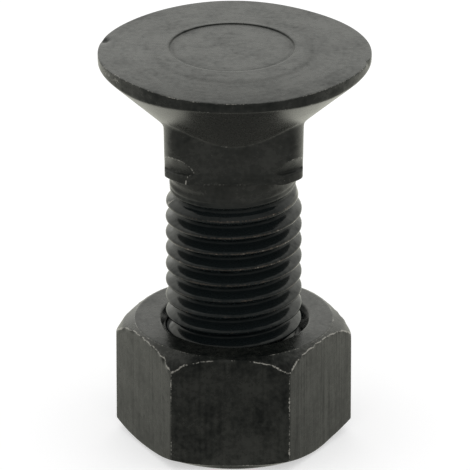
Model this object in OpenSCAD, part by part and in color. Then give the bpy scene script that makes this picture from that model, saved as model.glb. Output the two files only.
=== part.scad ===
/* [Head] */
// Diameter of the flat top of the head
head_d = 40; // [37:0.5:44]
// Height of the upright rim in line with the flats of the neck
rim_h = 1; // [0.8:0.1:2]
// Full angle of the countersunk cone
cone_angle = 90; // [80:1:100]
// How far the outline is drawn in over the corners of the neck
rim_draw_in = 0.8; // [0.4:0.1:1.2]
// Diameter of the shallow recess on the top
recess_d = 18.7; // [12:0.1:22]
// Depth of the recess
recess_depth = 0.3; // [0.2:0.1:1]
// How far the recess sits off the axis
recess_shift = 1.7; // [0:0.1:4]

/* [Square neck] */
// Width across the flats of the neck
neck_w = 20.2; // [19.6:0.1:22]
// Radius of the rounded corners of the neck
corner_round = 3; // [1:0.1:4]
// Length from the top of the head to the lower end of the neck
neck_depth = 16.7; // [15:0.1:22]
// Height of the trimmed band at the lower corners
corner_band_h = 1.8; // [1:0.1:3]
// Radius of the corners at the lower end of the neck
corner_r = 12.3; // [11.6:0.1:12.8]
// How far the crease above the band is set in
crease_in = 0.6; // [0.3:0.1:0.8]
// Height of the ledge between the band and the crease
ledge_h = 0.3; // [0.1:0.1:0.6]
// Angle from the axis at which the corners flare out above the crease
flare_angle = 29; // [25:1:50]

/* [Shank and thread] */
// Overall length of the bolt
bolt_len = 60; // [55:1:90]
// Diameter over the crests of the thread
crest_d = 19.9; // [19.4:0.1:20.2]
// Diameter at the roots of the thread
root_d = 16.93; // [16.5:0.1:17.2]
// Pitch of the right-hand thread
pitch = 2.5; // [2:0.25:3]
// Width of the flat on the crests
crest_w = 0.36; // [0.25:0.01:0.5]
// Diameter of the plain shank below the neck
shank_d = 18.5; // [18:0.1:19]
// Length of the plain shank below the neck
plain_len = 3.1; // [2:0.1:6]
// Length over which the thread grows to its full depth
runout_len = 4.2; // [2.5:0.1:7]
// Height of the chamfer at the end of the bolt
tip_chamfer = 1.5; // [1:0.1:2]
// Facets in one turn of the thread
thread_sides = 40; // [24:4:56]

/* [Hex nut] */
// Width across the flats
nut_w = 30; // [28:0.5:32]
// Height of the nut
nut_h = 18; // [14:0.5:20]
// Angle of the chamfer round the upper face
upper_chamfer_angle = 28; // [20:1:45]
// Angle of the steeper chamfer at the tips of the upper corners
tip_chamfer_angle = 53.7; // [46:0.1:60]
// Diameter at which the steeper chamfer begins
shoulder_d = 32.5; // [31:0.1:33.5]
// Angle of the chamfer round the lower face
lower_chamfer_angle = 26.5; // [20:0.5:45]
// Diameter of the flat ring inside the upper chamfer
upper_face_d = 29; // [27:0.1:29.6]
// Diameter of the flat ring inside the lower chamfer
lower_face_d = 28.3; // [27:0.1:29.6]
// Radial running gap between bore and thread crests
bore_gap = 0.05; // [0.02:0.01:0.1]
// Widest diameter of the countersinks of the bore
countersink_d = 21.7; // [21:0.1:23]
// Angle by which the nut is turned on the thread
nut_turn = -1.9; // [-30:0.1:30]

/* [Hidden] */
$fn = 96;
half = 0.5;
quarter_turn = 90;
full_turn = 360;
lap = 1;
steel_black = [0.20, 0.20, 0.20];
steel_grey = [0.24, 0.24, 0.24];

head_r = head_d * half;
cone_slope = tan(cone_angle * half);
head_top = bolt_len;
cone_top = head_top - rim_h;
head_depth = rim_h + head_r / cone_slope;
lobe_over = 0.45;
lobe_flat_r = head_r + lobe_over;
lobe_corner_r = head_r - rim_draw_in;
lobe_shift = (lobe_flat_r * lobe_flat_r - lobe_corner_r * lobe_corner_r)
    / (2 * lobe_corner_r - sqrt(2) * lobe_flat_r);
lobe_r = lobe_corner_r + lobe_shift;
recess_draft = 0.3;

neck_low = head_top - neck_depth;
neck_half = neck_w * half;
corner_centre = neck_half - corner_round;
neck_corner_r = corner_centre * sqrt(2) + corner_round;
cone_meets_corner = cone_top - (head_r - neck_corner_r) / cone_slope;
neck_top = min(cone_meets_corner + lap, cone_top);
crease_r = corner_r - crease_in;
crease_z = neck_low + corner_band_h;
band_lean = 0.15;
ledge_r = corner_r - band_lean;
ledge_z = crease_z - ledge_h;
neck_out = neck_corner_r + lap;
flare_rise = (neck_out - crease_r) / tan(flare_angle);

shank_r = shank_d * half;
crest_r = crest_d * half;
root_r = root_d * half;
thread_fade_top = neck_low - plain_len;
thread_core_gap = 0.05;
thread_core_r = shank_r - thread_core_gap;
flank_angle = 30;
flank_w = (crest_r - root_r) * tan(flank_angle);
root_w = pitch - crest_w - 2 * flank_w;
crest_phase = 0.48;
rows_per_turn = 4;
row_heights = [0, root_w, root_w + flank_w, root_w + flank_w + crest_w];
row_on_crest = [0, 0, 1, 1];
thread_start = crest_phase - row_heights[2] - crest_w * half - 2 * pitch;
thread_turns = ceil((thread_fade_top - thread_start) / pitch);
thread_rows = thread_turns * rows_per_turn;
tip_r = crest_r - tip_chamfer;
clear_r = crest_r + lap;

hex_sides = 6;
nut_corner_r = nut_w * half / cos(full_turn / hex_sides * half);
upper_face_r = upper_face_d * half;
lower_face_r = lower_face_d * half;
chamfer_out_r = nut_corner_r + lap;
shoulder_r = shoulder_d * half;
shoulder_drop = (shoulder_r - upper_face_r) * tan(upper_chamfer_angle);
tip_drop = shoulder_drop + (chamfer_out_r - shoulder_r) * tan(tip_chamfer_angle);
lower_chamfer_h = (chamfer_out_r - lower_face_r) * tan(lower_chamfer_angle);
bore_r = crest_r + bore_gap;
countersink_r = countersink_d * half;
countersink_h = countersink_r - bore_r;

// How much of the full thread depth is left at a height
function thread_depth(z) = max(0, min(1, (thread_fade_top - z) / runout_len));

// Height of a thread row at a step of the turn
function row_z(row, step) = thread_start
    + pitch * (floor(row / rows_per_turn) + step / thread_sides)
    + row_heights[row % rows_per_turn];

// Radius of a thread row at a height
function row_r(row, z) = thread_core_r
    + thread_depth(z) * ((row_on_crest[row % rows_per_turn] > 0 ? crest_r : root_r) - thread_core_r);

// Point of the thread surface on a row and a step of the turn
function thread_point(row, step) = [
    row_r(row, row_z(row, step)) * cos(full_turn * step / thread_sides),
    row_r(row, row_z(row, step)) * sin(full_turn * step / thread_sides),
    row_z(row, step)
];

// Number of a thread point: past the last step a row runs into the row one turn up
function thread_index(row, step) = step < thread_sides && row <= thread_rows
    ? row * thread_sides + step
    : step < thread_sides
        ? (thread_rows + 1) * thread_sides + row - thread_rows - 1
        : thread_index(row + rows_per_turn, 0);

// Outline of the head seen from above: round, drawn in over the four neck corners
module head_outline() {
    intersection() {
        circle(r = head_r);
        intersection_for (corner = [0 : 3]) {
            rotate(quarter_turn * (corner + half))
                translate([lobe_shift, 0])
                    circle(r = lobe_r);
        }
    }
}

// Flat countersunk head with its short upright rim
module head() {
    intersection() {
        translate([0, 0, head_top - head_depth])
            linear_extrude(height = head_depth)
                head_outline();
        rotate_extrude()
            polygon([
                [0, head_top - head_depth],
                [head_r + lap, cone_top + lap / cone_slope],
                [head_r + lap, head_top],
                [0, head_top]
            ]);
    }
}

// Outline of the neck seen from above: a square with rounded corners
module neck_outline() {
    for (turn = [0, quarter_turn]) {
        rotate(turn)
            square([neck_w, 2 * corner_centre], center = true);
    }
    for (corner = [0 : 3]) {
        rotate(quarter_turn * corner)
            translate([corner_centre, corner_centre])
                circle(r = corner_round);
    }
}

// Square neck; its corners flare in to a crease above the trimmed band at the lower end
module neck() {
    intersection() {
        translate([0, 0, neck_low])
            linear_extrude(height = neck_top - neck_low)
                neck_outline();
        rotate_extrude()
            polygon([
                [0, neck_low],
                [corner_r, neck_low],
                [ledge_r, ledge_z],
                [crease_r, crease_z],
                [neck_out, crease_z + flare_rise],
                [neck_out, neck_top + flare_rise],
                [0, neck_top + flare_rise]
            ]);
    }
}

// Right-hand thread, growing out of the plain shank and chamfered at the end
module thread() {
    points = concat(
        [for (row = [0 : thread_rows]) for (step = [0 : thread_sides - 1]) thread_point(row, step)],
        [for (row = [1 : rows_per_turn]) thread_point(thread_rows + row, 0)],
        [[0, 0, row_z(0, thread_sides)], [0, 0, row_z(thread_rows, 0)]]
    );
    low_centre = len(points) - 2;
    high_centre = len(points) - 1;
    low_loop = concat(
        [for (step = [0 : thread_sides]) thread_index(0, step)],
        [for (row = [rows_per_turn - 1 : -1 : 1]) thread_index(row, 0)]
    );
    high_loop = concat(
        [for (step = [0 : thread_sides]) thread_index(thread_rows, step)],
        [for (row = [rows_per_turn - 1 : -1 : 1]) thread_index(thread_rows + row, 0)]
    );
    loop_len = len(low_loop);
    faces = concat(
        [for (row = [0 : thread_rows - 1]) for (step = [0 : thread_sides - 1]) [
            thread_index(row, step),
            thread_index(row + 1, step),
            thread_index(row + 1, step + 1)
        ]],
        [for (row = [0 : thread_rows - 1]) for (step = [0 : thread_sides - 1]) [
            thread_index(row, step),
            thread_index(row + 1, step + 1),
            thread_index(row, step + 1)
        ]],
        [for (k = [0 : loop_len - 1]) [low_loop[k], low_loop[(k + 1) % loop_len], low_centre]],
        [for (k = [0 : loop_len - 1]) [high_loop[(k + 1) % loop_len], high_loop[k], high_centre]]
    );
    intersection() {
        polyhedron(points = points, faces = faces);
        rotate_extrude()
            polygon([
                [0, 0],
                [tip_r, 0],
                [clear_r, clear_r - tip_r],
                [clear_r, thread_fade_top + pitch],
                [0, thread_fade_top + pitch]
            ]);
    }
}

// One-piece forged bolt: head, neck, plain shank and thread
module bolt() {
    color(steel_black)
        difference() {
            union() {
                head();
                neck();
                translate([0, 0, thread_fade_top])
                    cylinder(r = shank_r, h = plain_len + lap);
                thread();
            }
            translate([0, recess_shift, head_top - recess_depth])
                cylinder(r1 = recess_d * half - recess_draft, r2 = recess_d * half + recess_draft,
                    h = 2 * recess_depth);
        }
}

// Hexagon nut, chamfered above and below, with a plain running bore
module hex_nut() {
    color(steel_grey)
        rotate([0, 0, nut_turn])
            difference() {
                intersection() {
                    cylinder(r = nut_corner_r, h = nut_h, $fn = hex_sides);
                    rotate_extrude()
                        polygon([
                            [0, 0],
                            [lower_face_r, 0],
                            [chamfer_out_r, lower_chamfer_h],
                            [chamfer_out_r, nut_h - tip_drop],
                            [shoulder_r, nut_h - shoulder_drop],
                            [upper_face_r, nut_h],
                            [0, nut_h]
                        ]);
                }
                translate([0, 0, -lap])
                    cylinder(r = bore_r, h = nut_h + 2 * lap);
                translate([0, 0, nut_h - countersink_h])
                    cylinder(r1 = bore_r, r2 = countersink_r + lap, h = countersink_h + lap);
                translate([0, 0, -lap])
                    cylinder(r1 = countersink_r + lap, r2 = bore_r, h = countersink_h + lap);
            }
}

bolt();
hex_nut();
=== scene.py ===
import bpy
import numpy as np
from mathutils import Matrix, Vector


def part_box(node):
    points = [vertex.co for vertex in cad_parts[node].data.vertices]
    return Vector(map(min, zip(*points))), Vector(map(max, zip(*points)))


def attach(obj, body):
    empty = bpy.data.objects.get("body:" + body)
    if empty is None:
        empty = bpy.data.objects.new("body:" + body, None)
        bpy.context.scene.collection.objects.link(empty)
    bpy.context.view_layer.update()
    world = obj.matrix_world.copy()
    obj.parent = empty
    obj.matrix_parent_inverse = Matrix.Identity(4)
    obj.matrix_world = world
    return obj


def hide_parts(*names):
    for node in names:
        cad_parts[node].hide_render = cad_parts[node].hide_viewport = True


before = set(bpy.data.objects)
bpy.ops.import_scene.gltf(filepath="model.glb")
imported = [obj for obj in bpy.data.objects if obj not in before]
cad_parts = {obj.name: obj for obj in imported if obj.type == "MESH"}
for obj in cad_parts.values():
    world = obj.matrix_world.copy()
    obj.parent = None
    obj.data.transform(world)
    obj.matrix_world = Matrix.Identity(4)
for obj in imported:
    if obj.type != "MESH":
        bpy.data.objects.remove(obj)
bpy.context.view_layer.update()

# The bolt: one steel forging with a flat countersunk head, a short square neck and a rolled
# right-hand thread, blackened all over. Its thread holds it in the nut, head up. Lengths are in
# millimetres, heights count up from the nut's lower face, and angles anticlockwise from the right.
mm = 0.001
bolt_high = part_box("bolt")[1]

# Sizes of the head: a short upright rim with a knock and a dent, a shallow recess, and a cone.
neck_corners = 4
head_top = bolt_high.z / mm
head_r = bolt_high.x / mm
head_corner_inset = 0.8
head_corner_r = head_r - head_corner_inset
flat_spots = np.radians([-92.0, -140.0, 180.0, 36.0, 130.0])
flat_depths = np.array([0.5, 0.36, 0.28, -0.32, -0.2])
flat_widths = np.radians([22.0, 20.0, 18.0, 22.0, 25.0])
rim_height = 1.1
rim_edge_round = 0.14
nick_angle = np.radians(-10.6)
nick_depth = 0.4
nick_width = 0.75
nick_drop = 0.8
dent_angle = np.radians(166.3)
dent_depth = 0.2
dent_length = 1.0
dent_width = 0.65
dent_inset = 0.45
recess_r = 9.1
recess_depth = 0.16
recess_x = -0.27
recess_y = 1.95
recess_wall = 0.28
recess_border = 0.7
collar_r = 11.3
collar_height = 0.04
collar_slope = 1.1
cone_top = head_top - rim_height
cone_inset = 0.15
cone_swell = 0.24
cone_spread = 1.026
cone_side_spread = 0.087
cone_right_spread = 0.043
cone_edge_round = 0.16


def near(distance, width):
    """One on a line, falling off as a bell with the distance from it."""
    return np.exp(-((distance / width) ** 2))


def smooth_step(low, high, x):
    """Nought below low, one above high, and 3 t squared less 2 t cubed between."""
    t = np.clip((x - low) / (high - low), 0.0, 1.0)
    return t * t * (3.0 - 2.0 * t)


def step_at(edge, width, x):
    """A smooth step of that width about an edge."""
    return smooth_step(edge - 0.5 * width, edge + 0.5 * width, x)


def turn_from(theta, angle):
    """The turn from an angle to theta, brought between minus and plus half a turn."""
    return np.angle(np.exp(1j * (theta - angle)))


def head_outline(theta):
    """Radius of the head's outline: round, and a little smaller over the neck's four corners, by a
    cosine of four times the angle, less a bell at each spot that is flatter or, with a depth below
    nought, fuller, and never past the head's radius."""
    middle = 0.5 * (head_r + head_corner_r)
    swing = 0.5 * (head_r - head_corner_r)
    flats = (flat_depths * near(turn_from(theta[..., None], flat_spots), flat_widths)).sum(-1)
    return np.minimum(middle + swing * np.cos(neck_corners * theta) - flats, head_r)


def dent_share(x, y):
    """One in the middle of the dent at the rim's edge, falling off as a bell along and across it."""
    theta = np.arctan2(y, x)
    along = turn_from(theta, dent_angle) * head_r
    across = np.hypot(x, y) - head_outline(theta) + dent_inset
    return near(along, dent_length) * near(across, dent_width)


def head_top_height(x, y):
    """Height of the head's top: a low collar that falls off in a smooth step beyond its radius,
    less the round recess, whose wall is another smooth step about a centre off the axis, and a
    bell-shaped dent at the rim."""
    wall = step_at(recess_r, recess_wall, np.hypot(x - recess_x, y - recess_y))
    fall = step_at(collar_r, collar_slope, np.hypot(x, y))
    return head_top - collar_height * fall - recess_depth * (1.0 - wall) - dent_depth * dent_share(x, y)


def rim_nick(theta, z):
    """Depth of the knock in the rim: a bell across its angle, fading out below the top."""
    across = nick_depth * near(turn_from(theta, nick_angle) * head_r, nick_width)
    return across * (1.0 - smooth_step(0.0, nick_drop, head_top - z))


def cone_radius(z, theta):
    """Radius of the cone under the head: it falls with the depth below the rim. By the squared
    cosine of the angle it starts a little wider at the sides and falls faster there."""
    side = np.cos(theta) ** 2
    spread = cone_spread + side * (cone_side_spread + cone_right_spread * np.cos(theta))
    return head_r - cone_inset + cone_swell * side - spread * (cone_top - z)


# Sizes of the neck: a square with a slight draft, whose corners are trimmed to a band at the foot,
# then creased, and flare out above the crease.
neck_half = 10.1
neck_draft = 0.0125
neck_gauge_drop = 9.9
neck_foot_drop = 16.7
neck_low = head_top - neck_foot_drop
neck_corner_round = 3.3
neck_trim_round = 0.16
neck_fillet = 0.3
neck_edge_round = 0.14
corner_low_r = 12.35
corner_shift = 0.2
ledge_r = 12.2
ledge_height = 0.3
crease_r = 11.68
crease_rise = 1.75
crease_z = neck_low + crease_rise
crease_drops = np.array([0.75, 0.35])
crease_drop_angles = np.radians([205.0, -25.0])
crease_drop_width = np.radians(22.0)
flare_start = 0.12
flare_curve = 0.165


def soft_min(a, b, width):
    """The lower of two numbers, with the corner between them rounded over about that width:
    half the sum less half the root of the squared difference and the squared width."""
    return 0.5 * (a + b - np.sqrt((a - b) ** 2 + width**2))


def soft_max(a, b, width):
    """The higher of two numbers, rounded in the same way."""
    return -soft_min(-a, -b, width)


def square_radius(z, theta):
    """Polar radius of the square neck, whose half width grows with the height and whose corners are
    true arcs: along an arc the far crossing of the ray with its circle, and elsewhere the half
    width over the cosine."""
    half = neck_half - neck_draft * (cone_top - neck_gauge_drop - z)
    from_corner = np.abs(np.mod(theta, 0.5 * np.pi) - 0.25 * np.pi)
    reach = np.sqrt(2.0) * (half - neck_corner_round)
    inside = np.maximum(neck_corner_round**2 - (reach * np.sin(from_corner)) ** 2, 0.0)
    arc = reach * np.cos(from_corner) + np.sqrt(inside)
    on_arc = from_corner < 0.25 * np.pi - np.arctan((half - neck_corner_round) / half)
    return np.where(on_arc, arc, half / np.cos(0.25 * np.pi - from_corner))


def crease_height(theta):
    """Height of the crease in the neck's corners, which sinks in a bell beside both side flats."""
    drops = crease_drops * near(turn_from(theta[..., None], crease_drop_angles), crease_drop_width)
    return crease_z - drops.sum(-1)


def neck_corner_radius(z, theta):
    """Radius that holds the neck's corners in, about an axis a little off the bolt's: a band that
    leans in, a ledge, and above the crease a flare that grows with the square of the height."""
    above = z - crease_height(theta)
    band_height = crease_z - ledge_height - neck_low
    band = corner_low_r + (ledge_r - corner_low_r) * (z - neck_low) / band_height
    ledge = ledge_r + (crease_r - ledge_r) * (above + ledge_height) / ledge_height
    flare = crease_r + flare_start * above + flare_curve * above**2
    low = np.where(above < -ledge_height, band, ledge)
    return np.where(above < 0.0, low, flare) + corner_shift * np.cos(theta)


def head_and_neck_radius(z, theta):
    """Radius at a height below the rim: the greater of the cone and the square neck, and the lower
    of the square and what holds its corners in, with every meeting line softened."""
    outline = head_outline(theta) - rim_nick(theta, z)
    cone = soft_min(cone_radius(z, theta), outline, cone_edge_round)
    neck = soft_min(square_radius(z, theta), neck_corner_radius(z, theta), neck_trim_round)
    return soft_max(cone, neck, neck_fillet)


# Sizes of the shank: plain under the neck, a little off the head's axis, then the rolled thread
# with its run-out, and a chamfered end.
shank_r = 9.25
shank_fillet = 0.45
shank_shift = -0.19
crest_r = 9.95
crest_half_width = 0.18
crest_round = 0.1
crest_phase = 0.48
root_r = 8.465
root_round = 0.15
pitch = 2.5
flank_slope = 1.732
crest_full_top = 36.2
crest_fade_top = 38.8
root_full_top = 37.5
root_fade_top = 42.0
rolled_edge_depth = 0.1
rolled_edge_width = 0.13
rolled_edge_low = 39.0
rolled_edge_top = 40.9
rolled_edge_lead = 0.4
rolled_edge_tail = 0.5
tip_chamfer = 1.5
tip_round = 0.2
tip_edge_round = 0.12


def from_crest(z, theta):
    """Distance along the axis to the nearest crest of the helix."""
    turns = (z - crest_phase) / pitch - theta / (2.0 * np.pi)
    return np.abs(turns - np.round(turns)) * pitch


def thread_radius(z, theta):
    """Radius of the thread: straight flanks that fall with the distance from the crest, between a
    rounded root and a rounded crest. Along the run-out the crests sink into the plain shank first
    and the roots rise to it after them; a fine groove in line with the crests ends the rolling."""
    flank = crest_r - (from_crest(z, theta) - crest_half_width) * flank_slope
    full = soft_max(soft_min(flank, crest_r, crest_round), root_r, root_round) - shank_r
    crest_share = 1.0 - smooth_step(crest_full_top, crest_fade_top, z)
    root_share = 1.0 - smooth_step(root_full_top, root_fade_top, z)
    groove = rolled_edge_depth * near(from_crest(z, theta), rolled_edge_width)
    groove = groove * smooth_step(rolled_edge_low, rolled_edge_low + rolled_edge_lead, z)
    groove = groove * (1.0 - smooth_step(rolled_edge_top - rolled_edge_tail, rolled_edge_top, z))
    return shank_r + crest_share * np.maximum(full, 0.0) + root_share * np.minimum(full, 0.0) - groove


# Rows and columns of the bolt's mesh, whose rings run from the middle of the recess to the end.
head_columns = 320
corner_pull = 0.5
recess_middle_r = 0.6
recess_floor_rows = 8
recess_border_rows = 7
recess_wall_rows = 7
flat_rows = 30
round_rows = 6
rim_band = 1.2
rim_rows = 15
cone_rows = 29
crease_band = 3.5
neck_rows = 51
foot_rows = 5
thread_rows = 282
end_rows = 7
end_middle_share = 0.06


def rows_between(stops, counts):
    """Even steps from each stop to the next, with one count of rows per stretch, its ends included;
    a stop that two stretches share comes once."""
    stretches = zip(stops[:-1], stops[1:], counts)
    return np.concatenate([stops[:1]] + [np.linspace(*stretch)[1:] for stretch in stretches])


def turned_rings(radius, z, theta):
    """Rings of points about the axis, from radii and heights of one value per row or per point."""
    radius, z, theta = np.broadcast_arrays(radius, z, theta)
    return np.stack([radius * np.cos(theta), radius * np.sin(theta), z], -1)


def ring_faces(upper, lower):
    """Corner numbers and face sizes between two rings, seen from outside: a quad for each step,
    or three triangles where the lower ring has half the points of the upper one."""
    after = np.roll(lower, -1)
    if len(upper) == len(lower):
        quads = np.stack([upper, lower, after, np.roll(upper, -1)], -1)
        return quads.ravel(), np.full(len(quads), 4)
    first, middle, last = upper[0::2], upper[1::2], np.roll(upper[0::2], -1)
    fans = np.stack([first, lower, middle, middle, lower, after, middle, after, last], -1)
    return fans.ravel(), np.full(3 * len(lower), 3)


def closed_mesh(name, bands, poles):
    """A closed mesh over bands of rings, downwards and anticlockwise. Neighbouring rings are
    joined by faces; two poles close the ends with triangles, and without poles the last ring
    joins the first."""
    rings = [ring for band in bands.values() for ring in band]
    starts = np.cumsum([0] + [len(ring) for ring in rings])
    numbers = [np.arange(low, high) for low, high in zip(starts[:-1], starts[1:])]
    faces = [ring_faces(upper, lower) for upper, lower in zip(numbers[:-1], numbers[1:])]
    points = np.concatenate(rings)
    if len(poles):
        top, end = numbers[0], numbers[-1]
        cap = np.stack([np.full_like(top, len(points)), top, np.roll(top, -1)], -1)
        foot = np.stack([np.full_like(end, len(points) + 1), np.roll(end, -1), end], -1)
        faces += [(cap.ravel(), np.full(len(top), 3)), (foot.ravel(), np.full(len(end), 3))]
        points = np.concatenate([points, poles])
    else:
        faces += [ring_faces(numbers[-1], numbers[0])]
    corners = np.concatenate([face[0] for face in faces]).astype(np.int32)
    sizes = np.concatenate([face[1] for face in faces]).astype(np.int32)
    mesh = bpy.data.meshes.new(name)
    mesh.vertices.add(len(points))
    mesh.vertices.foreach_set("co", (points * mm).astype(np.float32).ravel())
    mesh.loops.add(len(corners))
    mesh.loops.foreach_set("vertex_index", corners)
    mesh.polygons.add(len(sizes))
    mesh.polygons.foreach_set("loop_start", (np.cumsum(sizes) - sizes).astype(np.int32))
    mesh.polygons.foreach_set("use_smooth", np.ones(len(sizes), bool))
    mesh.update(calc_edges=True)
    piece = bpy.data.objects.new(name, mesh)
    bpy.context.scene.collection.objects.link(piece)
    return piece


phi = np.linspace(0.0, 2.0 * np.pi, head_columns, endpoint=False)
head_theta = (phi + corner_pull * np.sin(neck_corners * phi) / neck_corners)[None, :]
shank_theta = head_theta[:, ::2]
outline = head_outline(head_theta) - rim_nick(head_theta, head_top)

wall_inner_r = recess_r - 0.5 * recess_wall
wall_outer_r = recess_r + 0.5 * recess_wall
recess_rs = rows_between([recess_middle_r, wall_inner_r - recess_border, wall_inner_r, wall_outer_r],
                         [recess_floor_rows, recess_border_rows, recess_wall_rows])
recess_centre = np.array([recess_x, recess_y, 0.0])
recess_rings = turned_rings(recess_rs[:, None], 0.0, head_theta) + recess_centre
outwards = np.linspace(0.0, 1.0, flat_rows)[1:, None, None]
flat_edge = turned_rings(outline - rim_edge_round, 0.0, head_theta)
flat_rings = recess_rings[-1:] * (1.0 - outwards) + flat_edge * outwards
top_rings = np.concatenate([recess_rings, flat_rings])
top_x, top_y = top_rings[..., 0], top_rings[..., 1]
top_rings[..., 2] = head_top_height(top_x, top_y)

quarter = np.linspace(0.0, 0.5 * np.pi, round_rows)[1:, None]
rim_top = head_top - collar_height
rim_rings = turned_rings(outline - rim_edge_round * (1.0 - np.sin(quarter)),
                         rim_top - rim_edge_round * (1.0 - np.cos(quarter)), head_theta)
rim_dent = dent_share(rim_rings[..., 0], rim_rings[..., 1])
rim_rings[..., 2] -= dent_depth * rim_dent

side_z = rows_between([rim_top - rim_edge_round - dent_depth, cone_top - rim_band,
                       crease_z + crease_band, neck_low + neck_edge_round],
                      [rim_rows, cone_rows, neck_rows])[1:, None]
side_rings = turned_rings(head_and_neck_radius(side_z, head_theta), side_z, head_theta)

neck_foot = head_and_neck_radius(neck_low + neck_edge_round, head_theta)
edge_rings = turned_rings(neck_foot - neck_edge_round * (1.0 - np.cos(quarter)),
                          neck_low + neck_edge_round * (1.0 - np.sin(quarter)), head_theta)
inwards = np.linspace(0.0, 1.0, foot_rows)[1:, None]
foot_r = (neck_foot - neck_edge_round) * (1.0 - inwards) + (shank_r + shank_fillet) * inwards
foot_rings = turned_rings(foot_r, neck_low, head_theta)
fillet_rings = turned_rings(shank_r + shank_fillet * (1.0 - np.sin(quarter)),
                            neck_low - shank_fillet * (1.0 - np.cos(quarter)), shank_theta)
fillet_rings[..., 0] += shank_shift

thread_z = np.linspace(neck_low - shank_fillet, tip_round, thread_rows)[1:, None]
tip_limit = crest_r - tip_chamfer + thread_z
thread_r = soft_min(thread_radius(thread_z, shank_theta), tip_limit, tip_edge_round)
thread_rings = turned_rings(thread_r, thread_z, shank_theta)
thread_rings[..., 0] += shank_shift * smooth_step(crest_full_top, root_fade_top, thread_z)
tip_r = thread_r[-1:]
tip_rings = turned_rings(tip_r - tip_round * (1.0 - np.cos(quarter)),
                         tip_round * (1.0 - np.sin(quarter)), shank_theta)
end_shares = np.linspace(1.0, end_middle_share, end_rows)[1:, None]
end_rings = turned_rings((tip_r - tip_round) * end_shares, 0.0, shank_theta)

bolt_bands = {"top": top_rings, "rim": rim_rings, "side": side_rings, "edge": edge_rings,
              "foot": foot_rings, "fillet": fillet_rings, "thread": thread_rings,
              "tip": tip_rings, "end": end_rings}
bolt_poles = np.array([[recess_x, recess_y, head_top - recess_depth], [0.0, 0.0, 0.0]])
bolt_piece = closed_mesh("black_plow_bolt", bolt_bands, bolt_poles)

# Bare metal on the bolt: edges where the black is rubbed off, in broken specks, most of all along
# the burrs of the neck's corners and at a knock on the uppermost thread. The bright lines along
# the cone's edge, the fillet under it and the crests are partly painted highlights, and the crest
# line fades out downwards as painted shade near the nut.
neck_wear = 0.15
rim_wear = 0.5
rim_wear_turn = 0.7
rim_wear_width = 0.5
# The cone's edge and the fillet: partly rubbed metal, partly painted highlights along them.
cone_edge_wear_and_highlight = 0.42
cone_edge_width = 0.12
burr_wear = 0.71
burr_width = 0.1
burr_level = 0.85
burr_left_gain = 0.15
foot_wear = 0.42
fillet_wear_and_highlight = 0.3
fillet_highlight_width = 0.2
left_wear = 0.45
left_wear_angle = np.radians(200.0)
left_wear_width = np.radians(22.0)
left_wear_inset = 0.4
# The crests: partly rubbed metal, partly a painted highlight that fades out downwards as painted shade near
# the nut.
crest_wear_and_highlight = 0.4
crest_highlight_width = 0.12
crest_highlight_low = 24.0
crest_highlight_full = 30.0
knock_wear = 0.95
knock_size = 0.5
knock_angle = np.radians(192.0)
knock_z = 37.05
knock_squeeze = 0.6


def set_attribute(piece, name, bands, shares, elsewhere):
    """Stores one number per point for the piece's material: each band takes its own share, a number
    or an array, or the number for elsewhere, and a pole that of the ring beside it."""
    rows = [np.broadcast_to(shares.get(band, elsewhere), rings.shape[:2]).ravel()
            for band, rings in bands.items()]
    values = np.concatenate(rows + [rows[0][:1], rows[-1][-1:]])[:len(piece.data.vertices)]
    attribute = piece.data.attributes.new(name, "FLOAT", "POINT")
    attribute.data.foreach_set("value", np.clip(values, 0.0, 1.0).astype(np.float32))


side_square = square_radius(side_z, head_theta)
side_corner = neck_corner_radius(side_z, head_theta)
side_neck = np.minimum(side_square, side_corner)
side_cone = cone_radius(side_z, head_theta)
on_neck = side_cone < side_neck
on_cone = (side_cone > side_neck) & (side_cone < head_outline(head_theta))
on_left = near(turn_from(head_theta, left_wear_angle), left_wear_width)
burr_share = burr_level - burr_left_gain * np.cos(head_theta)
side_bare_and_highlight = np.maximum.reduce([
    neck_wear * on_neck,
    left_wear * on_left * (side_z > cone_top),
    burr_wear * burr_share * near(side_square - side_corner, burr_width) * on_neck,
    fillet_wear_and_highlight * near(side_cone - side_neck, fillet_highlight_width),
    cone_edge_wear_and_highlight * near(side_cone - head_outline(head_theta), cone_edge_width)])
top_from_axis = np.hypot(top_x, top_y)
top_bare = left_wear * on_left * near(top_from_axis - outline, left_wear_inset)
rim_bare = rim_wear * near(quarter - rim_wear_turn, rim_wear_width)
thread_from_crest = from_crest(thread_z, shank_theta)
on_thread = thread_z < crest_fade_top
# A painted highlight along the crests, partly rubbed metal, faded out downwards as painted shade.
crest_line = near(thread_from_crest, crest_highlight_width)
crest_line = crest_line * smooth_step(crest_highlight_low, crest_highlight_full, thread_z)
from_knock = np.hypot(turn_from(shank_theta, knock_angle) * crest_r, (thread_z - knock_z) * knock_squeeze)
thread_bare_and_highlight = np.maximum(crest_wear_and_highlight * crest_line * on_thread, knock_wear * near(from_knock, knock_size))
set_attribute(bolt_piece, "bare_and_highlight", bolt_bands, {"top": top_bare, "rim": rim_bare, "side": side_bare_and_highlight,
                                               "edge": foot_wear, "thread": thread_bare_and_highlight}, 0.0)

# Gleam on the bolt: how strongly each place mirrors the pale room round it, with painted light
# and shade in it: painted light on the left of the head's top and on the right of the rim's side
# and the thread, painted highlights on the cone's sides and right and on the neck's corners, and
# painted shade in front on the top, round the collar, round the recess, on the flares, in the
# crease and in the thread's roots.
plain_gleam = 0.5
sleek_full_top = 38.0
sleek_fade_top = 41.0
top_level = 0.47
# Painted light on the left of the head's top.
left_painted_light = 0.09
left_light_x = -17.0
left_light_y = 3.0
left_light_size = 7.0
# Painted shade on the front of the head's top.
front_painted_shade = 0.26
front_shade_y = -18.0
front_clear_y = -4.0
# Painted shade on the collar's outer slope, and a darker ring outside it.
collar_painted_shade = 0.07
collar_shade_width = 0.5
outer_ring_dull = 0.05
outer_ring_step = 1.5
outer_ring_width = 0.35
collar_right_painted_shade = 0.09
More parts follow.
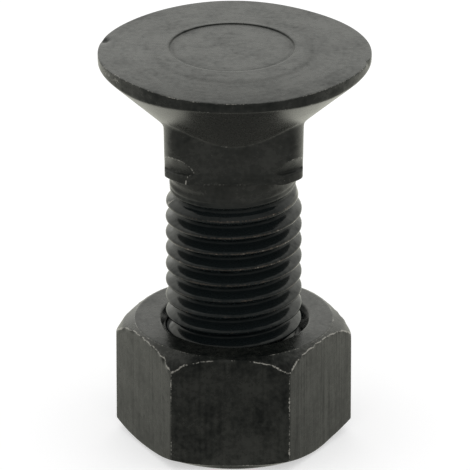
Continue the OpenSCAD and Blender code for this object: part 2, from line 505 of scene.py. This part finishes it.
# Painted shade on the right of the collar's slope.
collar_right_shade_width = 0.6
collar_right_shade_turn = 0.5
# Painted shade on the recess's wall and inside its border, a painted highlight on the lip beyond, and a
# darker ring in front of it.
wall_painted_shade = 0.25
wall_shade_width = 0.16
border_painted_shade = 0.2
border_shade_inset = 0.4
border_shade_width = 0.45
lip_painted_highlight = 0.05
lip_highlight_step = 0.35
lip_highlight_width = 0.3
front_ring_dull = 0.14
front_ring_start = 0.3
front_ring_full = 0.8
front_ring_step = 0.6
front_ring_width = 0.3
dent_dull = 0.5
dent_dull_start = 0.2
dent_dull_full = 0.45
rim_level = 0.5
rim_dent_dull = 0.48
rim_dent_start = 0.15
rim_dent_full = 0.5
rim_side_level = 0.47
# Painted light on the right of the rim's side.
rim_side_right_painted_light = 0.05
cone_level = 0.62
# Painted highlights on the cone's sides, most on its right.
cone_right_painted_highlight = 0.33
cone_side_painted_highlight = 0.1
neck_level = 0.47
# Painted light on the neck's corners above the crease.
neck_corner_painted_light = 0.15
# Painted shade on the flares: a lower level than on the flats.
flare_painted_shade_level = 0.33
crease_line_drop = 0.05
crease_line_width = 0.16
crease_line_reach = 0.1
# Painted shade in the crease, deepest at its ends.
crease_painted_shade = 0.4
crease_end_painted_shade = 0.5
crease_end_inset = 0.2
crease_end_width = 0.3
thread_level = 0.52
# Painted light on the right of the thread.
thread_right_painted_light = 0.06
# Painted shade in the thread's roots.
root_painted_shade = 0.6
root_shade_width = 0.35
shank_dull = 0.8
shank_dull_width = 0.5
shank_dull_low = 37.5
shank_dull_full = 38.5

# Painted light on the left of the top; painted shade in front, on the collar and on its right, and a darker
# ring outside it.
top_painted_light = left_painted_light * near(np.hypot(top_x - left_light_x, top_y - left_light_y), left_light_size)
outer_ring = near(top_from_axis - collar_r - outer_ring_step, outer_ring_width)
collar_right_shade = near(top_from_axis - collar_r, collar_right_shade_width) * near(np.arctan2(top_y, top_x), collar_right_shade_turn)
flat_painted_shade = (front_painted_shade * (1.0 - smooth_step(front_shade_y, front_clear_y, top_y))
             + collar_painted_shade * near(top_from_axis - collar_r, collar_shade_width)
             + outer_ring_dull * outer_ring
             + collar_right_painted_shade * collar_right_shade)
# Painted shade about the recess's wall and a painted highlight on its lip.
from_wall = np.hypot(top_x - recess_x, top_y - recess_y) - recess_r
recess_painted_light = (wall_painted_shade * near(from_wall, wall_shade_width)
             + border_painted_shade * near(from_wall + border_shade_inset, border_shade_width)
             - lip_painted_highlight * near(from_wall - lip_highlight_step, lip_highlight_width))
in_front = smooth_step(front_ring_start, front_ring_full, (recess_y - top_y) / recess_r)
front_ring = in_front * near(from_wall - front_ring_step, front_ring_width)
dented = smooth_step(dent_dull_start, dent_dull_full, dent_share(top_x, top_y))
top_gleam_and_painted_light = top_level + top_painted_light - np.maximum.reduce([flat_painted_shade, recess_painted_light, dent_dull * dented,
                                                      front_ring_dull * front_ring])
rim_gleam = rim_level - rim_dent_dull * smooth_step(rim_dent_start, rim_dent_full, rim_dent)

# Painted shade on the flares and painted light on the corners.
on_flare = (side_corner < side_square) & (side_z > crease_height(head_theta))
at_corner = np.abs(np.sin(0.5 * neck_corners * head_theta)) * (side_z > crease_z)
neck_gleam_and_painted_light = np.where(on_flare, flare_painted_shade_level, neck_level + neck_corner_painted_light * at_corner)
# Painted highlights on the cone's sides and right, painted light on the rim's right side.
cone_gleam_and_highlight = (cone_level + cone_right_painted_highlight * np.cos(head_theta)
              + cone_side_painted_highlight * np.abs(np.cos(head_theta)))
rim_side_gleam_and_light = rim_side_level + rim_side_right_painted_light * np.cos(head_theta)
side_gleam_and_painted_light = np.where(on_cone, cone_gleam_and_highlight, np.where(on_neck, neck_gleam_and_painted_light, rim_side_gleam_and_light))
# Painted shade along the crease.
at_crease = near(side_z - crease_height(head_theta) + crease_line_drop, crease_line_width)
at_crease = at_crease * (side_corner < side_square + crease_line_reach)
crease_end = near(side_square - side_corner - crease_end_inset, crease_end_width)
side_gleam_and_painted_light = side_gleam_and_painted_light * (1.0 - at_crease * (crease_painted_shade + crease_end_painted_shade * crease_end))

thread_sleek = 1.0 - smooth_step(sleek_full_top, sleek_fade_top, thread_z)
# Painted shade in the thread's roots and painted light on its right side.
root_line = near(thread_from_crest - 0.5 * pitch, root_shade_width) * thread_sleek
shank_left = near(turn_from(shank_theta, left_wear_angle), shank_dull_width)
shank_left = shank_left * smooth_step(shank_dull_low, shank_dull_full, thread_z)
thread_gleam_and_painted_light = (thread_level + thread_right_painted_light * np.cos(shank_theta)) * (1.0 - root_painted_shade * root_line)
thread_gleam_and_painted_light = thread_gleam_and_painted_light * (1.0 - shank_dull * shank_left)
set_attribute(bolt_piece, "gleam_and_painted_light", bolt_bands, {"top": top_gleam_and_painted_light, "rim": rim_gleam, "side": side_gleam_and_painted_light,
                                                "thread": thread_gleam_and_painted_light}, plain_gleam)

# Skin of the bolt: pale grey from the forge on the cone, where its full share is partly painted
# light from below, smooth and bluish on the rolled thread, with a brown stain along the crests
# that is weaker low down, as painted shade near the nut.
# Full forge skin on the cone, partly painted light from below.
cone_grey_and_painted_light = 1.0
neck_grey = 0.34
rim_side_grey = 0.22
top_grey = 0.1
rim_grey = 0.2
foot_grey = 0.35
fillet_grey = 0.45
shank_grey = 0.45
shank_grey_low = 37.5
shank_grey_full = 39.5
tip_sleek = 1.0
end_sleek = 0.3
crest_brown_width = 0.22
crest_brown_share = 0.75
crest_brown_low = 20.0
crest_brown_full = 32.0
bolt_drawn = 0.25

side_grey_and_painted_light = np.where(on_cone, cone_grey_and_painted_light, np.where(on_neck, neck_grey, rim_side_grey))
thread_grey = shank_grey * smooth_step(shank_grey_low, shank_grey_full, thread_z)
set_attribute(bolt_piece, "grey_and_painted_light", bolt_bands, {"top": top_grey, "rim": rim_grey, "side": side_grey_and_painted_light,
                                               "edge": foot_grey, "foot": foot_grey,
                                               "fillet": fillet_grey, "thread": thread_grey}, 0.0)
set_attribute(bolt_piece, "sleek", bolt_bands, {"thread": thread_sleek, "tip": tip_sleek,
                                                "end": end_sleek}, 0.0)
# The brown on the crests is weaker low down: painted shade near the nut.
crest_unshaded = smooth_step(crest_brown_low, crest_brown_full, thread_z)
crest_stain_and_shade = near(thread_from_crest, crest_brown_width) * on_thread
crest_stain_and_shade = crest_stain_and_shade * (crest_brown_share + (1.0 - crest_brown_share) * crest_unshaded)
set_attribute(bolt_piece, "brown", bolt_bands, {"thread": crest_stain_and_shade}, 0.0)
set_attribute(bolt_piece, "drawn", bolt_bands, {}, bolt_drawn)

# Black finish of the bolt and the nut: scales are spots to the metre, a detail is the number of
# finer layers, and colours are red, green and blue.
skin_refraction = 1.42
cloud_scale, cloud_detail, cloud_share = 240.0, 6.0, 0.53
mottle_scale, mottle_detail, mottle_share = 1300.0, 4.0, 0.47
streak_scale, streak_detail = 1000.0, 4.0
fleck_scale, fleck_detail = 3200.0, 2.0
patch_scale, patch_detail, patch_share = 500.0, 2.0, 0.8
grain_scale, grain_detail, grain_share = 2600.0, 4.0, 0.4
noise_middle = 0.5
dark_drift, light_drift = 0.4, 0.6
low_drift, high_drift = 0.35, 0.65
brown_start, brown_full = 1.2, 1.7
bare_start, bare_full = 0.96, 1.2
forge_grey = (0.034, 0.0345, 0.0305)
thread_blue = (0.0075, 0.0102, 0.0107)
brown_stain = (0.075, 0.057, 0.043)
bare_steel = (0.33, 0.32, 0.285)
least_rough, most_rough, sleek_rough = 0.2, 0.32, 0.13
black_relief, grey_relief = 0.17, 0.05
grey_relief_start, grey_relief_full = 0.3, 1.0
relief_depth = 0.05 * mm
turned_middle = 0.2 * mm
turned_reach = 3.5 * mm
drawn_squeeze = (2.0, 2.0, 0.07)
bolt_dark = (0.005, 0.0068, 0.0066)
bolt_light = (0.018, 0.0195, 0.0175)
bolt_contrast = 0.6
mix_first_colour, mix_second_colour, mix_colour = 6, 7, 2


def add_noise(tree, vector, scale, detail):
    """A noise texture of that many spots to the metre; gives its factor."""
    noise = tree.nodes.new("ShaderNodeTexNoise")
    noise.inputs["Scale"].default_value = scale
    noise.inputs["Detail"].default_value = detail
    tree.links.new(vector, noise.inputs["Vector"])
    return noise.outputs["Fac"]


def add_math(tree, operation, first, second):
    """One arithmetic node; each side is a number or another node's output."""
    node = tree.nodes.new("ShaderNodeMath")
    node.operation = operation
    for socket, value in zip(node.inputs, (first, second)):
        if isinstance(value, float):
            socket.default_value = value
        else:
            tree.links.new(value, socket)
    return node.outputs[0]


def add_range(tree, value, low, high, to_low, to_high):
    """Carries the stretch from low to high onto the stretch from to_low to to_high, clamped."""
    node = tree.nodes.new("ShaderNodeMapRange")
    for name, number in zip(("From Min", "From Max", "To Min", "To Max"), (low, high, to_low, to_high)):
        node.inputs[name].default_value = number
    tree.links.new(value, node.inputs["Value"])
    return node.outputs["Result"]


def add_mix(tree, share, first, second):
    """Mixes two colours; each is a triple of numbers or another node's output. The colour sockets
    of a Mix node go by number, because its other sockets bear the same names."""
    node = tree.nodes.new("ShaderNodeMix")
    node.data_type = "RGBA"
    tree.links.new(share, node.inputs["Factor"])
    for number, colour in ((mix_first_colour, first), (mix_second_colour, second)):
        if isinstance(colour, tuple):
            node.inputs[number].default_value = (*colour, 1.0)
        else:
            tree.links.new(colour, node.inputs[number])
    return node.outputs[mix_colour]


def add_attribute(tree, name):
    """A number that the mesh carries at each point."""
    node = tree.nodes.new("ShaderNodeAttribute")
    node.attribute_name = name
    return node.outputs["Fac"]


def turned_lines(tree, place):
    """Coordinates that vary fast along the radius and the axis and slowly round the axis, so that
    a noise on them runs round the bolt: the direction from the axis, and radius plus height."""
    parts = tree.nodes.new("ShaderNodeSeparateXYZ")
    tree.links.new(place, parts.inputs[0])
    flat = tree.nodes.new("ShaderNodeCombineXYZ")
    tree.links.new(parts.outputs["X"], flat.inputs["X"])
    tree.links.new(parts.outputs["Y"], flat.inputs["Y"])
    length = tree.nodes.new("ShaderNodeVectorMath")
    length.operation = "LENGTH"
    tree.links.new(flat.outputs[0], length.inputs[0])
    radius = length.outputs["Value"]
    lines = tree.nodes.new("ShaderNodeCombineXYZ")
    for axis in ("X", "Y"):
        way = add_math(tree, "DIVIDE", parts.outputs[axis], add_math(tree, "ADD", radius, turned_middle))
        tree.links.new(add_math(tree, "MULTIPLY", way, turned_reach), lines.inputs[axis])
    tree.links.new(add_math(tree, "ADD", radius, parts.outputs["Z"]), lines.inputs["Z"])
    return lines.outputs[0]


def drawn_lines(tree, place):
    """Coordinates squeezed along the axis, so that a noise on them runs up and down the flats."""
    squeeze = tree.nodes.new("ShaderNodeMapping")
    squeeze.inputs["Scale"].default_value = drawn_squeeze
    tree.links.new(place, squeeze.inputs["Vector"])
    return squeeze.outputs["Vector"]


def black_steel(name, dark, light, lines, contrast):
    """Blackened steel. Soft clouds, small mottles and fine lines drift its dark colour, its
    roughness and how strongly it mirrors. The attribute for bright metal lets it through in broken
    specks, which in places are painted highlights; brown lets a brown stain through in the same
    way; the one for the forge skin turns it to that paler skin, which in places is painted light;
    sleek to the smoother, bluer skin of the thread; the one for mirroring sets how strongly it
    mirrors, with painted light and shade in it; and drawn how much of the drift is lines."""
    material = bpy.data.materials.new(name)
    material.use_nodes = True
    tree = material.node_tree
    shader = tree.nodes["Principled BSDF"]
    shader.inputs["IOR"].default_value = skin_refraction
    place = tree.nodes.new("ShaderNodeTexCoord").outputs["Object"]

    cloud = add_noise(tree, place, cloud_scale, cloud_detail)
    mottle = add_noise(tree, place, mottle_scale, mottle_detail)
    streak = add_noise(tree, lines(tree, place), streak_scale, streak_detail)
    spots = add_math(tree, "ADD", add_math(tree, "MULTIPLY", cloud, cloud_share),
                     add_math(tree, "MULTIPLY", mottle, mottle_share))
    drawn = add_math(tree, "MULTIPLY", add_math(tree, "SUBTRACT", streak, spots),
                     add_attribute(tree, "drawn"))
    drift = add_math(tree, "ADD", spots, drawn)

    sleek = add_attribute(tree, "sleek")
    # Paler forge skin, in places painted light.
    grey_and_painted_light = add_attribute(tree, "grey_and_painted_light")
    skin = add_mix(tree, add_range(tree, drift, dark_drift, light_drift, 0.0, 1.0), dark, light)
    skin = add_mix(tree, grey_and_painted_light, skin, forge_grey)
    skin = add_mix(tree, sleek, skin, thread_blue)
    flecks = add_noise(tree, place, fleck_scale, fleck_detail)
    patch = add_noise(tree, place, patch_scale, patch_detail)
    patches = add_math(tree, "MULTIPLY", add_math(tree, "SUBTRACT", patch, noise_middle), patch_share)
    breaks = add_math(tree, "ADD", flecks, patches)
    stained = add_math(tree, "ADD", add_attribute(tree, "brown"), breaks)
    skin = add_mix(tree, add_range(tree, stained, brown_start, brown_full, 0.0, 1.0), skin, brown_stain)
    # Bright metal where rubbed, in places a painted highlight.
    worn_and_highlit = add_math(tree, "ADD", add_attribute(tree, "bare_and_highlight"), breaks)
    skin = add_mix(tree, add_range(tree, worn_and_highlit, bare_start, bare_full, 0.0, 1.0), skin, bare_steel)
    tree.links.new(skin, shader.inputs["Base Color"])

    wave = add_range(tree, drift, low_drift, high_drift, 1.0 - contrast, 1.0 + contrast)
    # How strongly it mirrors, with painted light and shade from the attribute.
    gleam_and_painted_light = add_math(tree, "MULTIPLY", add_attribute(tree, "gleam_and_painted_light"), wave)
    tree.links.new(gleam_and_painted_light, shader.inputs["Specular IOR Level"])
    rough = tree.nodes.new("ShaderNodeMix")
    tree.links.new(sleek, rough.inputs["Factor"])
    matt = add_range(tree, drift, low_drift, high_drift, least_rough, most_rough)
    tree.links.new(matt, rough.inputs["A"])
    rough.inputs["B"].default_value = sleek_rough
    tree.links.new(rough.outputs["Result"], shader.inputs["Roughness"])

    grain = add_noise(tree, place, grain_scale, grain_detail)
    relief = add_math(tree, "ADD", add_math(tree, "MULTIPLY", grain, grain_share), mottle)
    bump = tree.nodes.new("ShaderNodeBump")
    strength = add_range(tree, grey_and_painted_light, grey_relief_start, grey_relief_full, black_relief, grey_relief)
    tree.links.new(strength, bump.inputs["Strength"])
    bump.inputs["Distance"].default_value = relief_depth
    tree.links.new(add_math(tree, "ADD", relief, streak), bump.inputs["Height"])
    tree.links.new(bump.outputs["Normal"], shader.inputs["Normal"])
    return material


bolt_black = black_steel("bolt_black", bolt_dark, bolt_light, turned_lines, bolt_contrast)
bolt_piece.data.materials.append(bolt_black)
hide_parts("bolt")
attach(bolt_piece, "bolt")

# The nut: a hexagon of blackened steel, chamfered above and below and tapped with an internal
# thread, by which it sits on the bolt's end. The bolt stands on it.
nut_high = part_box("hex_nut")[1]
nut_top = nut_high.z / mm
nut_sides = 6
side_turn = 2.0 * np.pi / nut_sides
nut_inner_r = 15.0
nut_turn = np.radians(-1.9)
nut_corner_round = 0.12
nut_edge_round = 0.1
least_cosine = 0.2
washer_r = 14.5
shoulder_r = 16.25
upper_slope = np.tan(np.radians(28.0))
corner_slope = np.tan(np.radians(53.7))
chamfer_round = 0.25
lower_face_r = 14.15
lower_slope = np.tan(np.radians(26.5))
lift_angles = np.radians([-15.0, -150.0, -90.0])
lift_widths = np.radians([30.0, 16.0, 22.0])
lift_heights = np.array([0.4, 0.3, 0.5])
lift_full_z = 1.0
jag_size = 0.055
jag_reach = 0.4
jag_waves = 14
jag_fewest = 9
jag_most = 90
jag_seed = 5
bore_r = 8.75
bore_gap = 0.1
bore_round = 0.15
mouth_r = 11.0
mouth_round = 0.12
mouth_shift = 0.16
mouth_shift_depth = 2.0


def hexagon_radius(theta):
    """Polar radius of the hexagon: the soft minimum of the flat that is faced and the two beside
    it, each its distance over the cosine of the angle from its middle."""
    turned = np.mod(theta - nut_turn, side_turn)
    facing = nut_inner_r / np.cos(turned - 0.5 * side_turn)
    before = nut_inner_r / np.maximum(np.cos(turned + 0.5 * side_turn), least_cosine)
    after = nut_inner_r / np.maximum(np.cos(turned - 1.5 * side_turn), least_cosine)
    return soft_min(soft_min(facing, before, nut_corner_round), after, nut_corner_round)


def jagged(theta):
    """A small uneven offset round the axis: a sum of waves of whole numbers and seeded phases."""
    draws = np.random.default_rng(jag_seed)
    counts = draws.integers(jag_fewest, jag_most, jag_waves)
    phases = draws.uniform(0.0, 2.0 * np.pi, jag_waves)
    return jag_size * np.cos(theta[..., None] * counts + phases).sum(-1) / np.sqrt(0.5 * jag_waves)


def upper_chamfer(z):
    """Radius of the upper chamfer: a flat cone that turns into a steeper one near the corners."""
    drop = nut_top - z
    steep = shoulder_r + (drop - (shoulder_r - washer_r) * upper_slope) / corner_slope
    return soft_min(washer_r + drop / upper_slope, steep, chamfer_round)


def lower_chamfer(z, theta):
    """Radius of the lower chamfer's cone, which is cut higher in a bell at each of three places."""
    lift = (lift_heights * near(turn_from(theta[..., None], lift_angles), lift_widths)).sum(-1)
    return lower_face_r + (z - lift * smooth_step(0.0, lift_full_z, z)) / lower_slope


def nut_side_radius(z, theta):
    """Radius of the nut's side: the hexagon, uneven close to its upper chamfer, held in by both."""
    flat = hexagon_radius(theta)
    dents = jagged(theta) * near(upper_chamfer(z) - flat, jag_reach)
    cones = soft_min(upper_chamfer(z), lower_chamfer(z, theta), nut_edge_round)
    return soft_min(flat + dents, cones, nut_edge_round)


# Rows and columns of the nut's mesh, whose rings run down its outside and up its bore.
nut_columns = 348
nut_corner_pull = 0.65
nut_end_gap = 0.03
upper_band = 3.2
upper_rows = 56
middle_rows = 24
lower_band = 2.6
lower_rows = 40
face_gap = 0.05
face_rows = 14
bore_rows = 110

phi = np.linspace(0.0, 2.0 * np.pi, nut_columns, endpoint=False)
nut_theta = (phi + nut_corner_pull * np.sin(nut_sides * phi + np.pi) / nut_sides + nut_turn)[None, :]
nut_z = rows_between([nut_top - nut_end_gap, nut_top - upper_band, lower_band, nut_end_gap],
                     [upper_rows, middle_rows, lower_rows])[:, None]
outside = turned_rings(nut_side_radius(nut_z, nut_theta), nut_z, nut_theta)
lower_face_rs = np.linspace(lower_face_r - face_gap, mouth_r, face_rows)[:, None]
lower_face = turned_rings(lower_face_rs, 0.0, nut_theta)
upper_face_rs = np.linspace(mouth_r, washer_r - face_gap, face_rows)[:, None]
upper_face = turned_rings(upper_face_rs, nut_top, nut_theta)
upper_face[..., 0] += mouth_shift * np.linspace(1.0, 0.0, face_rows)[:, None]
bore_z = np.linspace(0.0, nut_top, bore_rows)[1:-1, None]
mouth = mouth_r - np.minimum(bore_z, nut_top - bore_z)
inner_thread = soft_max(bore_r, thread_radius(bore_z, nut_theta) + bore_gap, bore_round)
bore = turned_rings(soft_max(inner_thread, mouth, mouth_round), bore_z, nut_theta)
bore[..., 0] += mouth_shift * smooth_step(nut_top - mouth_shift_depth, nut_top, bore_z)
nut_bands = {"outside": outside, "lower_face": lower_face, "bore": bore, "upper_face": upper_face}
nut_piece = closed_mesh("black_hex_nut", nut_bands, [])

# Wear, gleam and skin of the nut: bare specks along its edges, less in front, and a forge skin on
# its upper side. The paler skin and the stronger gleam on the sides of its upper chamfer are
# painted highlights; on its upper side the skin and the gleam carry painted light on the right and
# painted shade towards the front, and the flats carry painted light on the right.
front = -0.5 * np.pi
upper_edge_wear = 0.76
upper_edge_front_loss = 0.27
upper_edge_width = 0.2
front_width = np.radians(30.0)
lower_edge_wear = 0.48
lower_edge_width = 0.3
corner_wear = 0.53
corner_wear_width = 0.14
flat_reach = 0.1
face_wear = 0.55
face_wear_width = 0.12
face_front_width = np.radians(16.0)
bore_sleek = 0.8
# Sides of the upper chamfer: paler skin and more gleam, as painted highlights.
chamfer_side_start = 0.5
chamfer_side_full = 0.95
chamfer_side_painted_light = 0.9
lower_face_grey = 0.1
face_grey_level = 0.45
# Painted light on the right of the upper face and painted shade towards its front.
face_grey_right_painted_light = 0.15
face_shade_start = 0.1
face_shade_end = 0.8
chamfer_level = 0.4
# Painted highlight on the chamfer's sides, painted light on the right of the flats and the upper face,
# painted shade on the front of the upper face.
chamfer_side_painted_highlight = 0.27
flat_level = 0.53
flat_right_painted_light = 0.05
face_level = 0.36
face_right_painted_light = 0.03
face_front_painted_shade = 0.26
face_front_start = 0.1
face_front_full = 0.9
bore_gleam = 0.08
bore_brown = 0.6
bore_brown_depth = 1.5
front_drawn = 0.16
left_drawn = 0.32
right_drawn = 0.48
inner_drawn = 0.2
nut_dark = (0.005, 0.0062, 0.0058)
nut_light = (0.0168, 0.018, 0.0157)
nut_contrast = 0.48

hexagon = hexagon_radius(nut_theta)
from_flat = np.abs(np.mod(nut_theta - nut_turn, side_turn) - 0.5 * side_turn) * nut_inner_r
to_corner = (0.5 * side_turn * nut_inner_r - from_flat) * np.ones_like(nut_z)
nut_upper = upper_chamfer(nut_z)
nut_lower = lower_chamfer(nut_z, nut_theta)
on_flat = hexagon < np.minimum(nut_upper, nut_lower) + flat_reach
on_upper_chamfer = nut_upper < hexagon
from_front = turn_from(nut_theta, front)
upper_wear = upper_edge_wear - upper_edge_front_loss * near(from_front, front_width)
outside_bare = np.maximum.reduce([
    upper_wear * near(nut_upper - hexagon - jagged(nut_theta), upper_edge_width),
    lower_edge_wear * near(nut_lower - hexagon, lower_edge_width),
    corner_wear * near(to_corner, corner_wear_width) * on_flat,
    face_wear * near(nut_z - nut_top, face_wear_width) * (1.0 - near(from_front, face_front_width))])
set_attribute(nut_piece, "bare_and_highlight", nut_bands, {"outside": outside_bare}, 0.0)
set_attribute(nut_piece, "sleek", nut_bands, {"bore": bore_sleek}, 0.0)

# Painted highlights on the chamfer's sides; painted light on the right and painted shade towards the front
# of the upper face; painted light on the right of the flats.
to_side = smooth_step(chamfer_side_start, chamfer_side_full, np.abs(np.cos(nut_theta)))
to_front = -np.sin(nut_theta)
chamfer_painted_light = chamfer_side_painted_light * on_upper_chamfer * to_side
face_grey_and_painted_light = face_grey_level + face_grey_right_painted_light * np.cos(nut_theta)
face_grey_and_painted_light = face_grey_and_painted_light * (1.0 - smooth_step(face_shade_start, face_shade_end, to_front))
set_attribute(nut_piece, "grey_and_painted_light", nut_bands, {"outside": chamfer_painted_light, "lower_face": lower_face_grey,
                                             "upper_face": face_grey_and_painted_light}, 0.0)
outside_gleam_and_painted_light = np.where(on_upper_chamfer, chamfer_level + chamfer_side_painted_highlight * to_side,
                         flat_level + flat_right_painted_light * np.cos(nut_theta))
face_gleam_and_painted_light = (face_level + face_right_painted_light * np.cos(nut_theta)
              - face_front_painted_shade * smooth_step(face_front_start, face_front_full, to_front))
set_attribute(nut_piece, "gleam_and_painted_light", nut_bands, {"outside": outside_gleam_and_painted_light, "bore": bore_gleam,
                                              "upper_face": face_gleam_and_painted_light}, plain_gleam)
mouth_brown = bore_brown * near(bore_z - nut_top, bore_brown_depth)
set_attribute(nut_piece, "brown", nut_bands, {"bore": mouth_brown}, 0.0)
on_front_flat = np.abs(turn_from(nut_theta - front, nut_turn)) < 0.5 * side_turn
side_drawn = np.where(np.cos(nut_theta) > 0.0, right_drawn, left_drawn)
outside_drawn = np.where(on_front_flat, front_drawn, side_drawn)
set_attribute(nut_piece, "drawn", nut_bands, {"outside": outside_drawn}, inner_drawn)
nut_black = black_steel("nut_black", nut_dark, nut_light, drawn_lines, nut_contrast)
nut_piece.data.materials.append(nut_black)
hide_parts("hex_nut")
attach(nut_piece, "nut")

# The stage: a wide pale floor that runs out of sight, a white surround, and one weak soft lamp
# behind the bolt. Black steel mirrors both as if they were dimmer towards the front. Lengths are
# in metres from here on.
floor_reach = 3.0
floor_z = -0.02 * mm
floor_paint = (0.72, 0.72, 0.72, 1.0)
floor_lift = 0.5
mirrored_paint = (1.0, 1.0, 0.885, 1.0)
floor_dim_y, floor_bright_y = -0.035, 0.03
floor_dim, floor_bright = 0.3, 1.0
floor_signs = ((-1, -1), (1, -1), (1, 1), (-1, 1))
floor_corners = [(x * floor_reach, y * floor_reach, floor_z) for x, y in floor_signs]
floor_mesh = bpy.data.meshes.new("pale_floor")
floor_mesh.from_pydata(floor_corners, [], [range(len(floor_corners))])
floor_piece = bpy.data.objects.new("pale_floor", floor_mesh)
bpy.context.scene.collection.objects.link(floor_piece)


def mirrored_rays(tree):
    """Light Path, and one for rays from a mirror-like surface or through glass, else nought."""
    path = tree.nodes.new("ShaderNodeLightPath")
    mirrored = add_math(tree, "MAXIMUM", path.outputs["Is Glossy Ray"], path.outputs["Is Transmission Ray"])
    return path, mirrored


def depth_range(tree, place, front_y, back_y, front_level, back_level):
    """A level that runs with the Y of a place from the front level to the back level, clamped."""
    parts = tree.nodes.new("ShaderNodeSeparateXYZ")
    tree.links.new(tree.nodes.new("ShaderNodeTexCoord").outputs[place], parts.inputs[0])
    return add_range(tree, parts.outputs["Y"], front_y, back_y, front_level, back_level)


floor_white = bpy.data.materials.new("floor_white")
floor_white.use_nodes = True
tree = floor_white.node_tree
tree.nodes.clear()
path, mirrored = mirrored_rays(tree)
matt = tree.nodes.new("ShaderNodeBsdfDiffuse")
matt.inputs["Color"].default_value = floor_paint
lift = tree.nodes.new("ShaderNodeEmission")
seen_lift = add_math(tree, "MULTIPLY", path.outputs["Is Camera Ray"], floor_lift)
tree.links.new(seen_lift, lift.inputs["Strength"])
lifted = tree.nodes.new("ShaderNodeAddShader")
tree.links.new(matt.outputs[0], lifted.inputs[0])
tree.links.new(lift.outputs[0], lifted.inputs[1])
white = tree.nodes.new("ShaderNodeEmission")
white.inputs["Color"].default_value = mirrored_paint
floor_level = depth_range(tree, "Object", floor_dim_y, floor_bright_y, floor_dim, floor_bright)
tree.links.new(floor_level, white.inputs["Strength"])
either = tree.nodes.new("ShaderNodeMixShader")
tree.links.new(mirrored, either.inputs[0])
tree.links.new(lifted.outputs[0], either.inputs[1])
tree.links.new(white.outputs[0], either.inputs[2])
sink = tree.nodes.new("ShaderNodeOutputMaterial")
tree.links.new(either.outputs[0], sink.inputs["Surface"])
floor_mesh.materials.append(floor_white)

surround_level = 0.8
surround_dim_y, surround_bright_y = -0.3, 0.7
surround_dim, surround_bright = 0.35, 1.0
plain_white = (1.0, 1.0, 1.0)
mirrored_white = (0.995, 1.0, 0.925)
world = bpy.data.worlds.new("white_surround")
bpy.context.scene.world = world
world.use_nodes = True
tree = world.node_tree
sky = tree.nodes["Background"]
path, mirrored = mirrored_rays(tree)
mirrored_level = depth_range(tree, "Generated", surround_dim_y, surround_bright_y,
                             surround_dim, surround_bright)
mirrored_level = add_math(tree, "MULTIPLY", mirrored, mirrored_level)
matt_level = add_math(tree, "MULTIPLY", add_math(tree, "SUBTRACT", 1.0, mirrored), surround_level)
level = add_math(tree, "MAXIMUM", mirrored_level, path.outputs["Is Camera Ray"])
tree.links.new(add_math(tree, "MAXIMUM", level, matt_level), sky.inputs["Strength"])
tree.links.new(add_mix(tree, mirrored, plain_white, mirrored_white), sky.inputs["Color"])


def aimed_from(place, aim):
    """A matrix that stands at a place and looks at the aim, upright."""
    return Matrix.Translation(place) @ (aim - place).to_track_quat("-Z", "Y").to_matrix().to_4x4()


lamp_size = 0.6
lamp_power = 0.4
lamp_place = Vector((-0.05, 0.75, 0.4))
lamp_aim = Vector((0.0, 0.0, 0.05))
softbox = bpy.data.lights.new("back_softbox", "AREA")
softbox.shape = "SQUARE"
softbox.size = lamp_size
softbox.energy = lamp_power
lamp = bpy.data.objects.new("back_softbox", softbox)
lamp.matrix_world = aimed_from(lamp_place, lamp_aim)
bpy.context.scene.collection.objects.link(lamp)

# The camera: far off with a long lens, looking down on the bolt from the side of one neck flat.
# The lens is worked out from its focus and the picture's width, both in pixels.
view_rise = np.radians(23.6)
view_distance = 1.310
view_aim = Vector((0.00019, 0.0, 0.0311))
focus_pixels = 8970.0
image_pixels = 470.0
sensor_width = 36.0
clip_distance = 20.0
camera_data = bpy.data.cameras.new("photo_camera")
camera_data.sensor_width = sensor_width
camera_data.lens = sensor_width * focus_pixels / image_pixels
camera_data.clip_end = clip_distance
camera = bpy.data.objects.new("photo_camera", camera_data)
camera_place = view_aim + view_distance * Vector((0.0, -np.cos(view_rise), np.sin(view_rise)))
camera.matrix_world = aimed_from(camera_place, view_aim)
bpy.context.scene.collection.objects.link(camera)
bpy.context.scene.camera = camera
bpy.context.scene.view_settings.view_transform = "Standard"
